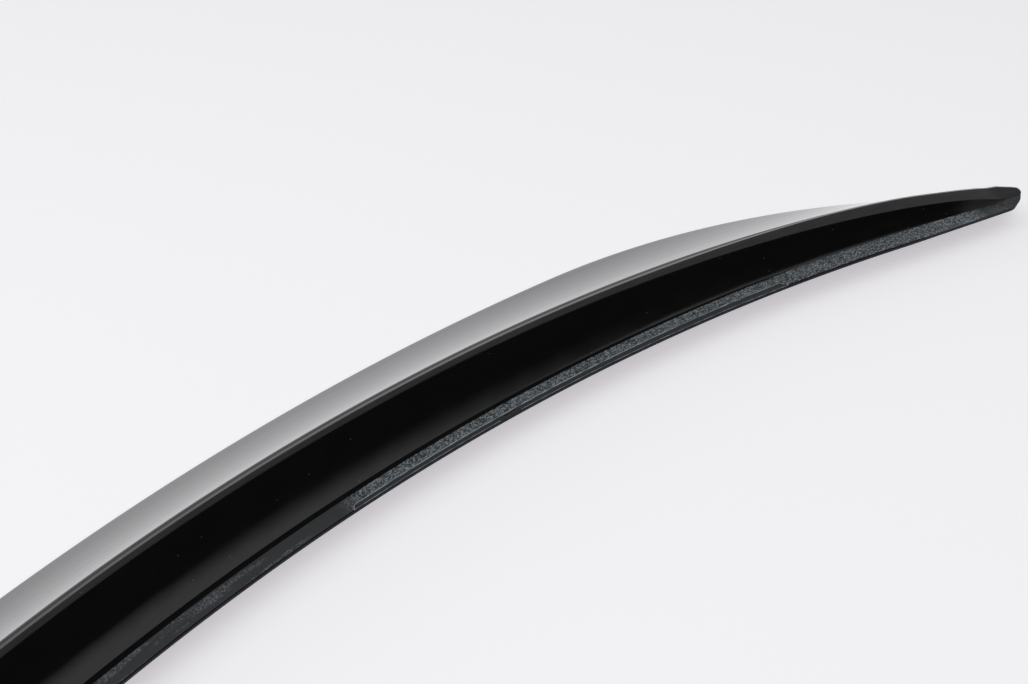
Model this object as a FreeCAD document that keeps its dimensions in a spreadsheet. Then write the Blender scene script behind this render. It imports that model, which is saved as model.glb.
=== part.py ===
import FreeCAD, Part
import math
import os
import Sketcher

# A front bumper lip: one moulded plastic shell, bowed in plan and swept back to a rounded tip on each side.
# +X runs along the lip, the car's front is -Y and +Z is up. The origin is on the bond strip, at mid length.
doc = FreeCAD.newDocument("FrontBumperLip")

# Driving sizes, in millimetres and degrees
DRIVING_SIZES = [
    ("arc_radius", 1550, "plan radius of the line where the seat meets the flange"),
    ("tip_angle", 32.3, "angle from the middle to a tip, about the centre of that arc"),
    ("bond_height", 19, "bond strip above the floor that the lip lies on"),
    ("flange_width", 11.7, "flange behind the seat's foot line, at the middle"),
    ("flange_shift", 24, "how far the rear edge's centre stands forward, which widens the flange to the tips"),
    ("flange_thickness", 2, "flange without the raised strip"),
    ("strip_rise", 1.2, "raised bond strip above the flange"),
    ("strip_edge", 0.8, "step between the strip and the flange's rear edge"),
    ("strip_gap", 3.2, "shadow gap between strip and seat, at the middle"),
    ("gap_angle", 26, "where that gap has closed and the seat runs under the strip"),
    ("rim_height", 30.5, "rim above the bond strip, at the middle"),
    ("rim_power", 0.59, "how full the rim's rise is along the lip"),
    ("pocket_angle", 31.4, "where the seat runs out before the tip"),
    ("rim_blend", 0.008, "how softly the rim runs out there"),
    ("tip_rise", 1.5, "rim above the bond strip at the tip"),
    ("seat_lean", 1, "run of the seat for each unit of its rise"),
    ("seat_turn", 40, "bend of the hollow seat from foot to rim"),
    ("land_width", 6.6, "flat top of the rim, at the middle"),
    ("land_gain", 10.1, "how much wider that top grows to the tips"),
    ("bevel_width", 2.2, "bevel in front of the land"),
    ("bevel_drop", 0.8, "fall across that bevel"),
    ("face_radius", 336, "hollow of the show face, from rim to nose"),
    ("blade_reach", 104.4, "leading edge in front of the seat's foot line"),
    ("tip_reach", 17, "leading edge in front of that line at the tip"),
    ("taper_angle", 19, "where the leading edge starts to sweep in"),
    ("nose_radius", 4, "rounding of the leading edge"),
    ("return_width", 10, "turned-in lip under the leading edge"),
    ("wall", 3, "thickness of the shell"),
    ("cavity_angle", 30.6, "where the hollow underside ends"),
    ("tip_round", 8.4, "rounding of the tip's end"),
    ("tip_line", 8.5, "centre of that rounding, ahead of the seat's foot line"),
    ("tip_slant", 45, "slant of the end behind that rounding"),
    ("tip_flare", 30, "how the leading edge opens in front of it"),
    ("flare_run", 36, "length of that opening"),
    ("tip_corner", 12, "rounding between the slanted end and the rear edge"),
    ("tip_back", 9.4, "rear edge behind the seat's foot line at the tip"),
    ("trim_angle", 26.5, "where the rear edge starts to run straight to the tip"),
    ("thin_angle", 31.3, "where the underside starts to rise to the tip"),
    ("thin_drop", 2.4, "underside below the bond strip at the tip"),
    ("tip_trim", 0.5, "taken off the end of the tip"),
    ("rebate_line", 8.5, "front edge of the rebate, behind the seat's foot line"),
    ("rebate_depth", 0.8, "smooth rebate along the rear of the strip"),
    ("rebate_start", 9.5, "inner end of the rebate"),
    ("rebate_end", 23.5, "outer end of the rebate"),
    ("rebate_slant", 0.4, "how much longer the rebate is at the rear edge"),
    ("chip_angle", 14.1, "place of the chip in the strip, on the -X side"),
    ("chip_line", 7, "middle of the chip, behind the seat's foot line"),
    ("chip_length", 11.5, "chip along the strip"),
    ("chip_width", 4, "chip across the strip"),
    ("chip_depth", 1.5, "chip into the strip"),
    ("clearance", 5, "how far a cut runs past the solid"),
    ("sketch_drop", 10, "sketch origin under the floor, so that every height is positive"),
]
sheet = doc.addObject("Spreadsheet::Sheet", "Sizes")
for row, (alias, size, meaning) in enumerate(DRIVING_SIZES, start=1):
    sheet.set(f"A{row}", meaning)
    sheet.set(f"B{row}", str(size))
    sheet.setAlias(f"B{row}", alias)
doc.recompute()

lip = doc.addObject("PartDesign::Body", "bumper_lip")
lip.Label = "bumper_lip"
planes = {feature.Role: feature for feature in lip.Origin.OriginFeatures}

ARC_CENTRE = "(Sizes.arc_radius - Sizes.flange_width / 2)"


def value(text):
    """Number that an expression of the sheet's sizes has now."""
    return float(sheet.evalExpression(text))


def section_sketch(name, angle):
    """Upright sketch across the lip: x is the distance from the arc's centre, y the height."""
    sketch = lip.newObject("Sketcher::SketchObject", name)
    sketch.AttachmentSupport = [(planes["XZ_Plane"], "")]
    sketch.MapMode = "FlatFace"
    sketch.AttachmentOffset = FreeCAD.Placement(
        FreeCAD.Vector(0, 0, 0), FreeCAD.Rotation(FreeCAD.Vector(0, -1, 0), 90)
    )
    sketch.setExpression("AttachmentOffset.Rotation.Angle", f"90 - {angle}")
    sketch.setExpression("AttachmentOffset.Base.y", "-Sizes.bond_height - Sizes.sketch_drop")
    sketch.setExpression("AttachmentOffset.Base.z", f"-{ARC_CENTRE}")
    return sketch


def plan_sketch(name, angle, height):
    """Level sketch: x points from the arc's centre to the given angle, y along the lip towards +X."""
    sketch = lip.newObject("Sketcher::SketchObject", name)
    sketch.AttachmentSupport = [(planes["XY_Plane"], "")]
    sketch.MapMode = "FlatFace"
    sketch.AttachmentOffset = FreeCAD.Placement(
        FreeCAD.Vector(0, 0, 0), FreeCAD.Rotation(FreeCAD.Vector(0, 0, -1), 90)
    )
    sketch.setExpression("AttachmentOffset.Rotation.Angle", f"90 - {angle}")
    sketch.setExpression("AttachmentOffset.Base.y", ARC_CENTRE)
    sketch.setExpression("AttachmentOffset.Base.z", height)
    return sketch


def pin(sketch, kind, side, end, text):
    """Holds one coordinate of a side's end at the value of an expression."""
    size = value(text)
    if size > 0:
        constraint = Sketcher.Constraint(kind, -1, 1, side, end, size)
        index = sketch.addConstraint(constraint)
        sketch.setExpression(f"Constraints[{index}]", text)
    else:
        constraint = Sketcher.Constraint(kind, side, end, -1, 1, -size)
        index = sketch.addConstraint(constraint)
        sketch.setExpression(f"Constraints[{index}]", f"-({text})")


def draw_outline(sketch, corners, bends, blend=None):
    """Closed outline through corners of two expressions each. bends gives a side's radius and which way it
    bulges from the direction of travel, "right" or "left"; every other side is straight. At the corner that
    blend numbers, which starts near its expressions, two bends run smoothly into each other, and the second
    bend's centre is level with its far end."""
    points = [FreeCAD.Vector(value(x), value(y), 0) for x, y in corners]
    ends = []
    for side, start in enumerate(points):
        finish = points[(side + 1) % len(points)]
        if side not in bends:
            sketch.addGeometry(Part.LineSegment(start, finish))
            ends.append((1, 2))
            continue
        radius, bulge = bends[side]
        chord = finish - start
        half = chord.Length / 2
        sagitta = value(radius) - math.sqrt(value(radius) ** 2 - half**2)
        to_right = FreeCAD.Vector(chord.y, -chord.x, 0).normalize()
        offset = to_right * sagitta if bulge == "right" else to_right * -sagitta
        sketch.addGeometry(Part.Arc(start, (start + finish) / 2 + offset, finish))
        ends.append((1, 2) if bulge == "right" else (2, 1))
    for side, (first, last) in enumerate(ends):
        following = (side + 1) % len(ends)
        joint = "Tangent" if following == blend else "Coincident"
        sketch.addConstraint(Sketcher.Constraint(joint, side, last, following, ends[following][0]))
    for side, (x, y) in enumerate(corners):
        if side != blend:
            pin(sketch, "DistanceX", side, ends[side][0], x)
            pin(sketch, "DistanceY", side, ends[side][0], y)
    if blend is not None:
        sketch.addConstraint(Sketcher.Constraint("Horizontal", blend, 3, blend, ends[blend][1]))
    for side, (radius, bulge) in bends.items():
        index = sketch.addConstraint(Sketcher.Constraint("Radius", side, value(radius)))
        sketch.setExpression(f"Constraints[{index}]", radius)


def bend_radius(start, finish, turn):
    """Radius of an arc between two corners that turns through the given angle."""
    run = f"({finish[0]} - ({start[0]}))"
    rise = f"({finish[1]} - ({start[1]}))"
    return f"sqrt(pow({run}; 2) + pow({rise}; 2)) / (2 * sin({turn} / 2))"


# How the section changes along the lip, at an angle from the middle
def flange_back(angle):
    return f"(Sizes.flange_width + Sizes.flange_shift * (1 - cos({angle})))"


def rim_rise(angle):
    left = f"(1 - pow({angle} / Sizes.pocket_angle; 2))"
    soft = f"(({left} + sqrt(pow({left}; 2) + pow(Sizes.rim_blend; 2))) / 2)"
    full = f"(Sizes.rim_height * pow({soft}; Sizes.rim_power))"
    return f"sqrt(pow(Sizes.tip_rise; 2) + pow({full}; 2))"


def seat_foot(angle):
    return f"Sizes.strip_gap * (1 - pow({angle} / Sizes.gap_angle; 2))"


def land(angle):
    wanted = f"Sizes.land_width + Sizes.land_gain * pow({angle} / Sizes.tip_angle; 3)"
    room = f"{lead_reach(angle)} - Sizes.seat_lean * {rim_rise(angle)} - Sizes.bevel_width - Sizes.nose_radius"
    return f"min({wanted}; {room})"


def lead_reach(angle):
    swept = f"(max({angle} - Sizes.taper_angle; 0) / (Sizes.tip_angle - Sizes.taper_angle))"
    return f"(Sizes.tip_reach + (Sizes.blade_reach - Sizes.tip_reach) * (1 - pow({swept}; 2)))"


def across(offset):
    return f"(Sizes.arc_radius + {offset})"


def above_bond(offset):
    return f"(Sizes.sketch_drop + Sizes.bond_height + {offset})"


def above_floor(offset):
    return f"(Sizes.sketch_drop + {offset})"


# About how steep the show face is where it meets the nose, for a first guess at that point
FACE_SLOPE = 30


def outer_section(sketch, angle):
    """Flange, hollow seat, rim land, bevel, hollow show face, round nose and turned-in lip."""
    rise = rim_rise(angle)
    reach = lead_reach(angle)
    back = across(f"-{flange_back(angle)}")
    flange_under = above_bond("-Sizes.strip_rise - Sizes.flange_thickness")
    flange_top = above_bond("-Sizes.strip_rise")
    rim_in = f"Sizes.seat_lean * {rise}"
    bevel_end = f"{rim_in} + {land(angle)} + Sizes.bevel_width"
    corners = [
        (back, flange_under),
        (back, flange_top),
        (across(seat_foot(angle)), flange_top),
        (across(rim_in), above_bond(rise)),
        (across(f"{rim_in} + {land(angle)}"), above_bond(rise)),
        (across(bevel_end), above_bond(f"{rise} - Sizes.bevel_drop")),
        (
            across(f"{reach} - Sizes.nose_radius * (1 - sin({FACE_SLOPE}))"),
            above_floor(f"Sizes.nose_radius * (1 + cos({FACE_SLOPE}))"),
        ),
        (across(reach), above_floor("Sizes.nose_radius")),
        (across(f"{reach} - Sizes.nose_radius"), above_floor("0")),
        (across(f"{reach} - Sizes.return_width - Sizes.wall"), above_floor("0")),
        (across(seat_foot(angle)), flange_under),
    ]
    bends = {
        2: (bend_radius(corners[2], corners[3], "Sizes.seat_turn"), "right"),
        5: ("Sizes.face_radius", "right"),
        6: ("Sizes.nose_radius", "left"),
        7: ("Sizes.nose_radius", "left"),
    }
    draw_outline(sketch, corners, bends, blend=6)


def hollow_section(sketch, angle):
    """Space under the seat, the rim and the show face, one wall inside them and open below."""
    rise = rim_rise(angle)
    reach = lead_reach(angle)
    foot = across(seat_foot(angle))
    under_rim = above_bond(f"{rise} - Sizes.wall")
    rim_in = f"Sizes.seat_lean * {rise}"
    bevel_end = f"{rim_in} + {land(angle)} + Sizes.bevel_width"
    lip_top = above_floor("Sizes.wall")
    below = above_floor("-Sizes.clearance")
    lip_edge = across(f"{reach} - Sizes.return_width")
    corners = [
        (foot, above_bond("-Sizes.strip_rise - Sizes.flange_thickness - Sizes.wall / 3")),
        (across(f"{rim_in} + Sizes.wall * tan(45 - Sizes.seat_turn / 4)"), under_rim),
        (across(f"{bevel_end} - Sizes.wall / 3"), under_rim),
        (across(f"{reach} - Sizes.nose_radius - Sizes.wall / 3"), lip_top),
        (lip_edge, lip_top),
        (lip_edge, below),
        (foot, below),
    ]
    bends = {
        0: (bend_radius(corners[0], corners[1], "Sizes.seat_turn"), "right"),
        2: ("Sizes.face_radius + Sizes.wall", "right"),
    }
    draw_outline(sketch, corners, bends)


def loft(kind, name, half_shares, end_angle, draw_section):
    """Lofted form through sections from the -X end to the +X end, closer together where it changes fast."""
    shares = [-share for share in reversed(half_shares)] + half_shares[1:]
    sketches = []
    for number, share in enumerate(shares):
        sketch = section_sketch(f"{name}Section{number}", f"{share} * {end_angle}")
        draw_section(sketch, f"({abs(share)} * {end_angle})")
        sketches.append(sketch)
    doc.recompute()
    form = lip.newObject(kind, name)
    form.Profile = sketches[0]
    form.Sections = sketches[1:]
    doc.recompute()
    return form


def must_change(before, feature, grows):
    """Stops where a feature added or took away nothing."""
    after = feature.Shape.Volume
    if (after <= before) if grows else (after >= before):
        raise RuntimeError(f"{feature.Name} changed nothing: {before:.0f} to {after:.0f} cubic mm")
    return after


# Shell: the lofted outer form less the lofted hollow under it
OUTER_SHARES = [0, 0.34, 0.56, 0.7, 0.82, 0.9, 0.945, 0.97, 0.984, 1]
HOLLOW_SHARES = [0, 0.2, 0.4, 0.56, 0.7, 0.82, 0.91, 0.97, 1]
outer = loft("PartDesign::AdditiveLoft", "OuterForm", OUTER_SHARES, "Sizes.tip_angle", outer_section)
volume = must_change(0, outer, grows=True)
hollow = loft("PartDesign::SubtractiveLoft", "Hollow", HOLLOW_SHARES, "Sizes.cavity_angle", hollow_section)
volume = must_change(volume, hollow, grows=False)

# Bond strip: raised, flat on top, with a shadow gap in front that closes towards the tips
# Outline of the strip, a little longer than the lip so that the tips trim it
END_PAST = 0.1
END_ANGLE = f"(Sizes.tip_angle + {END_PAST})"
STRIP_FRONT = "Sizes.arc_radius"
STRIP_BACK = f"(Sizes.arc_radius - {flange_back(END_ANGLE)} + Sizes.strip_edge)"
BACK_RADIUS = "Sizes.arc_radius - Sizes.flange_width - Sizes.flange_shift + Sizes.strip_edge"
STRIP_ROOT = "(Sizes.strip_rise + Sizes.flange_thickness / 2)"
strip_plan = plan_sketch("StripPlan", "0", f"-{STRIP_ROOT}")
draw_outline(
    strip_plan,
    [
        (f"{STRIP_BACK} * cos({END_ANGLE})", f"-{STRIP_BACK} * sin({END_ANGLE})"),
        (f"{STRIP_FRONT} * cos({END_ANGLE})", f"-{STRIP_FRONT} * sin({END_ANGLE})"),
        (f"{STRIP_FRONT} * cos({END_ANGLE})", f"{STRIP_FRONT} * sin({END_ANGLE})"),
        (f"{STRIP_BACK} * cos({END_ANGLE})", f"{STRIP_BACK} * sin({END_ANGLE})"),
    ],
    {1: (STRIP_FRONT, "right"), 3: (BACK_RADIUS, "left")},
)
strip = lip.newObject("PartDesign::Pad", "BondStrip")
strip.Profile = strip_plan
strip.setExpression("Length", STRIP_ROOT)
doc.recompute()
volume = must_change(volume, strip, grows=True)

# Tips: in plan the rear edge runs straight to a slanted, rounded end, and the leading edge opens out from it
TRIM_BACK = f"(Sizes.arc_radius - {flange_back('Sizes.trim_angle')} - Sizes.strip_edge / 2)"
TRIM_SPAN = "(Sizes.tip_angle - Sizes.trim_angle)"
TRIM_ALONG = f"-{TRIM_BACK} * sin({TRIM_SPAN})"
TIP_BACK = "(Sizes.arc_radius - Sizes.tip_back)"
SLANT_X = "(Sizes.arc_radius + Sizes.tip_line - Sizes.tip_round * sin(Sizes.tip_slant))"
SLANT_Y = "(-Sizes.tip_trim - Sizes.tip_round * (1 - cos(Sizes.tip_slant)))"
CORNER_Y = f"({SLANT_Y} - ({SLANT_X} - {TIP_BACK}) * tan(Sizes.tip_slant))"
CORNER_RUN = "(Sizes.tip_corner * tan((90 - Sizes.tip_slant) / 2))"
FLARE_X = "(Sizes.arc_radius + Sizes.tip_line + Sizes.tip_round * cos(Sizes.tip_flare))"
FLARE_Y = "(-Sizes.tip_trim - Sizes.tip_round * (1 - sin(Sizes.tip_flare)))"
FLARE_END_X = f"({FLARE_X} + Sizes.flare_run * sin(Sizes.tip_flare))"
tip_plan = plan_sketch("TipPlan", "Sizes.tip_angle", "(Sizes.rim_height + Sizes.clearance)")
draw_outline(
    tip_plan,
    [
        (f"{TRIM_BACK} * cos({TRIM_SPAN}) - Sizes.clearance", TRIM_ALONG),
        (f"{TRIM_BACK} * cos({TRIM_SPAN})", TRIM_ALONG),
        (TIP_BACK, f"{CORNER_Y} - {CORNER_RUN}"),
        (
            f"{TIP_BACK} + {CORNER_RUN} * cos(Sizes.tip_slant)",
            f"{CORNER_Y} + {CORNER_RUN} * sin(Sizes.tip_slant)",
        ),
        (SLANT_X, SLANT_Y),
        (FLARE_X, FLARE_Y),
        (FLARE_END_X, f"{FLARE_Y} - Sizes.flare_run * cos(Sizes.tip_flare)"),
        (FLARE_END_X, "Sizes.clearance"),
        (f"{TRIM_BACK} * cos({TRIM_SPAN}) - Sizes.clearance", "Sizes.clearance"),
    ],
    {2: ("Sizes.tip_corner", "left"), 4: ("Sizes.tip_round", "left")},
)
tip_cut = lip.newObject("PartDesign::Pocket", "TipRounding")
tip_cut.Profile = tip_plan
tip_cut.Type = "ThroughAll"
doc.recompute()
volume = must_change(volume, tip_cut, grows=False)

# Thin tip: the underside rises to the end, so that the tip is thin
thin_sketches = []
for name, angle, top in (
    ("ThinStart", "Sizes.thin_angle", above_floor("-Sizes.clearance / 5")),
    ("ThinEnd", END_ANGLE, above_bond("-Sizes.thin_drop")),
):
    thin_sketch = section_sketch(name, angle)
    thin_back = across(f"-{flange_back(angle)} - Sizes.clearance")
    thin_front = across(f"{lead_reach(angle)} + Sizes.clearance")
    thin_low = above_floor("-Sizes.clearance")
    draw_outline(
        thin_sketch,
        [(thin_back, thin_low), (thin_front, thin_low), (thin_front, top), (thin_back, top)],
        {},
    )
    thin_sketches.append(thin_sketch)
doc.recompute()
thin_tip = lip.newObject("PartDesign::SubtractiveLoft", "ThinTip")
thin_tip.Profile = thin_sketches[0]
thin_tip.Sections = thin_sketches[1:]
doc.recompute()
volume = must_change(volume, thin_tip, grows=False)

# Rebate: a smooth lower step along the rear of the strip, part of the way along each side
REBATE_MIDDLE = "((Sizes.rebate_start + Sizes.rebate_end) / 2)"
REBATE_HALF = "((Sizes.rebate_end - Sizes.rebate_start) / 2)"
REBATE_FRONT = "(Sizes.arc_radius - Sizes.rebate_line)"
REBATE_BACK = f"(Sizes.arc_radius - {flange_back('Sizes.tip_angle')} - Sizes.clearance)"
REBATE_BACK_HALF = f"({REBATE_HALF} + Sizes.rebate_slant)"
rebate_plan = plan_sketch("RebatePlan", REBATE_MIDDLE, "0")
draw_outline(
    rebate_plan,
    [
        (f"{REBATE_BACK} * cos({REBATE_BACK_HALF})", f"-{REBATE_BACK} * sin({REBATE_BACK_HALF})"),
        (f"{REBATE_FRONT} * cos({REBATE_HALF})", f"-{REBATE_FRONT} * sin({REBATE_HALF})"),
        (f"{REBATE_FRONT} * cos({REBATE_HALF})", f"{REBATE_FRONT} * sin({REBATE_HALF})"),
        (f"{REBATE_BACK} * cos({REBATE_BACK_HALF})", f"{REBATE_BACK} * sin({REBATE_BACK_HALF})"),
    ],
    {1: (REBATE_FRONT, "right"), 3: (REBATE_BACK, "left")},
)
rebate = lip.newObject("PartDesign::Pocket", "Rebate")
rebate.Profile = rebate_plan
rebate.setExpression("Length", "Sizes.rebate_depth")
doc.recompute()
volume = must_change(volume, rebate, grows=False)

# The other side has the same thin, rounded tip and the same rebate
other_side = lip.newObject("PartDesign::Mirrored", "OtherSide")
other_side.Originals = [tip_cut, thin_tip, rebate]
other_side.MirrorPlane = (planes["YZ_Plane"], [""])
lip.Tip = other_side
doc.recompute()
volume = must_change(volume, other_side, grows=False)

# Chip: a ragged flake broken out of the strip's edge, where the rebate starts
CHIP_SHARES = [(-0.5, -0.4), (0.3, -0.5), (0.5, -0.15), (0.35, 0.3), (0.5, 0.5), (-0.3, 0.45), (-0.5, 0.1)]
chip_plan = plan_sketch("ChipPlan", "-Sizes.chip_angle", "0")
draw_outline(
    chip_plan,
    [
        (
            f"Sizes.arc_radius - Sizes.chip_line + {share_across} * Sizes.chip_width",
            f"{share_along} * Sizes.chip_length",
        )
        for share_across, share_along in CHIP_SHARES
    ],
    {},
)
chip = lip.newObject("PartDesign::Pocket", "Chip")
chip.Profile = chip_plan
chip.setExpression("Length", "Sizes.chip_depth")
lip.Tip = chip
doc.recompute()
volume = must_change(volume, chip, grows=False)

# Every object has to be sound before anything is written
for item in doc.Objects:
    if "Invalid" in item.State or "Error" in item.State:
        raise RuntimeError(f"{item.Name} failed: {item.State}")
shape = lip.Shape
if shape.isNull() or not shape.isValid():
    raise RuntimeError("bumper_lip has no valid shape")
if len(shape.Solids) != 1:
    raise RuntimeError(f"bumper_lip is {len(shape.Solids)} solids")

os.makedirs("parts", exist_ok=True)
shape.exportStep(os.path.join("parts", f"{lip.Label}.step"))
box = shape.BoundBox
print(f"{lip.Label}: {box.XLength:.1f} x {box.YLength:.1f} x {box.ZLength:.1f} mm, {volume / 1000:.0f} cubic cm")
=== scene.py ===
import math

import bmesh
import bpy
from mathutils import Matrix, Vector


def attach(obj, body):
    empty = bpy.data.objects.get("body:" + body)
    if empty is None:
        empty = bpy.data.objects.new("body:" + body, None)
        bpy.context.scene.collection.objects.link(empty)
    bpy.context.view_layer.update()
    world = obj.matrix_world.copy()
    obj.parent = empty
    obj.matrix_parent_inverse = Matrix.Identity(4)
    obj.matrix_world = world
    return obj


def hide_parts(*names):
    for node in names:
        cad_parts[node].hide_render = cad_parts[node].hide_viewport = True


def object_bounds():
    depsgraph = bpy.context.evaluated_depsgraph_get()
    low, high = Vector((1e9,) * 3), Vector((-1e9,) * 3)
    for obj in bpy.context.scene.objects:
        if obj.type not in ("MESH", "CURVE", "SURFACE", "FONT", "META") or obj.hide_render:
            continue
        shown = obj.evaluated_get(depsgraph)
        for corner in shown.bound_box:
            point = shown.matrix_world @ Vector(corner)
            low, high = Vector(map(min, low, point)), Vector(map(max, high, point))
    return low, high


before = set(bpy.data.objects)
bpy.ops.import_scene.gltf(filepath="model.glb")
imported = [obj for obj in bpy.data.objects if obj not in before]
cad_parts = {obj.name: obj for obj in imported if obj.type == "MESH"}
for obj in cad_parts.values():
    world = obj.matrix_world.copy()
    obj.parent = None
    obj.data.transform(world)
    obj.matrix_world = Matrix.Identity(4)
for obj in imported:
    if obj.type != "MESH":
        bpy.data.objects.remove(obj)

cad_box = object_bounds()

# Lip, its plan: one injection-moulded shell of black plastic, about 3 mm thick, bowed and swept back to a
# rounded tip on each side, in millimetres and degrees as on a moulder's drawing. Every section stands across
# the arc where the seat meets the flange, and the car's front is -Y.
MM = 0.001
ARC_RADIUS = 1550
TIP_ANGLE = 32.3
FLANGE_WIDTH = 11.7
ARC_CENTRE = Vector((0, (ARC_RADIUS - FLANGE_WIDTH / 2) * MM, 0))
EDGE_ROUNDING = 0.22
ROUNDING_SHARE = 0.24
FLAT_PLACE = 1.8
BEND_SHARES = (0, 0.33, 0.67, 1)


def arc_points(start, finish, turn, pieces):
    """Points after start, up to finish, of an arc that bulges to the right and turns by the given angle."""
    chord = finish - start
    radius = chord.length / (2 * math.sin(turn / 2))
    left = Vector((-chord.y, chord.x)).normalized()
    centre = (start + finish) / 2 + left * radius * math.cos(turn / 2)
    points = []
    for number in range(1, pieces + 1):
        points.append(centre + Matrix.Rotation(turn * number / pieces, 2) @ (start - centre))
    return points


def line_points(start, finish, pieces):
    """Points between start and finish, without those two."""
    return [start.lerp(finish, number / pieces) for number in range(1, pieces)]


def rounded(before, corner, after, radius):
    """A moulded edge: a small rounding in place of a sharp corner, with a point on each flat beside it."""
    to_before = before - corner
    to_after = after - corner
    size = min(radius, ROUNDING_SHARE * to_before.length, ROUNDING_SHARE * to_after.length)
    enter = corner + to_before.normalized() * size
    leave = corner + to_after.normalized() * size
    flat_before = corner + to_before.normalized() * size * FLAT_PLACE
    flat_after = corner + to_after.normalized() * size * FLAT_PLACE
    bend = [enter.lerp(corner, share).lerp(corner.lerp(leave, share), share) for share in BEND_SHARES]
    return [flat_before, *bend, flat_after]


def soft_step(share):
    """0 before 0, 1 after 1, and a smooth rise between."""
    share = max(0, min(1, share))
    return share * share * (3 - 2 * share)


# Flange and bond strip: a rail along the rear edge, 2 mm thick, with a raised strip that is glued to the
# bumper. Both are moulded with the shell. For some way along each side a smooth rebate lowers the rear part
# of the strip.
FLANGE_SHIFT = 24
FLANGE_TOP = -1.2
FLANGE_UNDER = -3.2
STRIP_EDGE = 0.8
REBATE_LINE = -7.9
REBATE_DEPTH = 0.8
REBATE_RAMP = 0.35
REBATE_START = 9.5
REBATE_END = 23.5
REBATE_SLANT = 0.91
REBATE_PIECES = 8
PIECES_AT_EDGE = 2
RAMP_PIECES = 5
STRIP_PIECES = 22
POINTS_BELOW_TOP = 4


def flange_back(angle):
    return -FLANGE_WIDTH - FLANGE_SHIFT * (1 - math.cos(math.radians(angle)))


def rebate_depth(angle, ahead):
    """How deep the rebate is at a point of the strip. Its ends are slanted."""
    behind = REBATE_LINE - ahead
    from_start = math.radians(abs(angle) - REBATE_START) * ARC_RADIUS + REBATE_SLANT * behind
    from_end = math.radians(REBATE_END - abs(angle)) * ARC_RADIUS + REBATE_SLANT * behind
    return REBATE_DEPTH * soft_step(min(behind, from_start, from_end) / REBATE_RAMP)


# Chip: a flake that broke out of the strip's rear edge on one side, down to the flange, and left torn
# plastic. Its corners are shares of its width and its length.
CHIP_ANGLE = -14.35
CHIP_LINE = -10.2
CHIP_LENGTH = 18
CHIP_WIDTH = 4
CHIP_DEPTH = 1.2
CHIP_SLOPE = 0.3
CHIP_SHARES = [(-0.6, 0.5), (0.05, 0.48), (0.2, 0.3), (0.3, 0)]
CHIP_SHARES += [(0.42, -0.2), (0.3, -0.36), (-0.1, -0.5), (-0.6, -0.5)]
CHIP_CORNERS = [Vector((across * CHIP_WIDTH, along * CHIP_LENGTH)) for across, along in CHIP_SHARES]


def chip_depth(angle, ahead):
    """How deep the chip is at a point of the strip: it falls off from each side of the flake's outline."""
    place = Vector((ahead - CHIP_LINE, math.radians(angle - CHIP_ANGLE) * ARC_RADIUS))
    if place.length > CHIP_LENGTH:
        return 0
    inside = False
    nearest = CHIP_LENGTH
    for number, corner in enumerate(CHIP_CORNERS):
        previous = CHIP_CORNERS[number - 1]
        if (corner.y > place.y) != (previous.y > place.y):
            share = (place.y - corner.y) / (previous.y - corner.y)
            if place.x < corner.x + share * (previous.x - corner.x):
                inside = not inside
        side = previous - corner
        along = max(0, min(1, (place - corner).dot(side) / side.dot(side)))
        nearest = min(nearest, (place - corner - side * along).length)
    if not inside:
        return 0
    return CHIP_DEPTH * min(1, nearest / CHIP_SLOPE)


def strip_depth(angle, ahead):
    """How far the rebate or the chip lowers the strip at a point."""
    return max(rebate_depth(angle, ahead), chip_depth(angle, ahead))


def strip_outline(signed_angle):
    """Flange and strip from the rear edge's underside up and forwards, and the strip's front edge."""
    back = flange_back(signed_angle)
    strip_back = back + STRIP_EDGE
    rear_low = Vector((back, FLANGE_UNDER))
    rear_top = Vector((back, FLANGE_TOP))
    step = Vector((strip_back, FLANGE_TOP))
    strip_rear = Vector((strip_back, -strip_depth(signed_angle, strip_back)))
    foot_line = REBATE_LINE - REBATE_RAMP
    rebate_foot = Vector((foot_line, -rebate_depth(signed_angle, foot_line)))
    rebate_top = Vector((REBATE_LINE, 0))
    strip_front = Vector((0, 0))
    flange = rounded(Vector((0, FLANGE_UNDER)), rear_low, rear_top, EDGE_ROUNDING)
    flange += rounded(rear_low, rear_top, step, EDGE_ROUNDING)
    flange.append(step)
    strip = rounded(step, strip_rear, rebate_foot, EDGE_ROUNDING)
    strip += line_points(strip_rear, rebate_foot, REBATE_PIECES)[PIECES_AT_EDGE:]
    strip += [rebate_foot, *line_points(rebate_foot, rebate_top, RAMP_PIECES), rebate_top]
    strip += line_points(rebate_top, strip_front, STRIP_PIECES)
    for place in strip[POINTS_BELOW_TOP:]:
        place.y = -strip_depth(signed_angle, place.x)
    return flange, strip, strip_front


# Seat: the hollow that the bumper's lower edge rests in, moulded as part of the shell. It rises from a shadow
# gap in front of the strip, more and more steeply, to the rim. Towards the tips it grows shallow, closes the
# gap and runs out.
STRIP_GAP = 3.2
GAP_ANGLE = 26
FOOT_TURN = math.radians(20)
RIM_TURN = math.radians(12)
# How far up the seat the gap's dark finish runs as painted shade, and where that fades out towards the tips
SHADED_FOOT_LENGTH = 1.6
SHADED_FOOT_FADE = 22.5
RIM_HEIGHT = 30.5
RIM_POWER = 0.59
RIM_BLEND = 0.008
POCKET_ANGLE = 31.4
TIP_RISE = 1.5
SEAT_PIECES = 24


def rim_rise(angle):
    """Height of the rim above the strip. It runs out softly where the seat ends."""
    left = 1 - (angle / POCKET_ANGLE) ** 2
    softly_left = (left + math.hypot(left, RIM_BLEND)) / 2
    return math.hypot(TIP_RISE, RIM_HEIGHT * softly_left**RIM_POWER)


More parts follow.
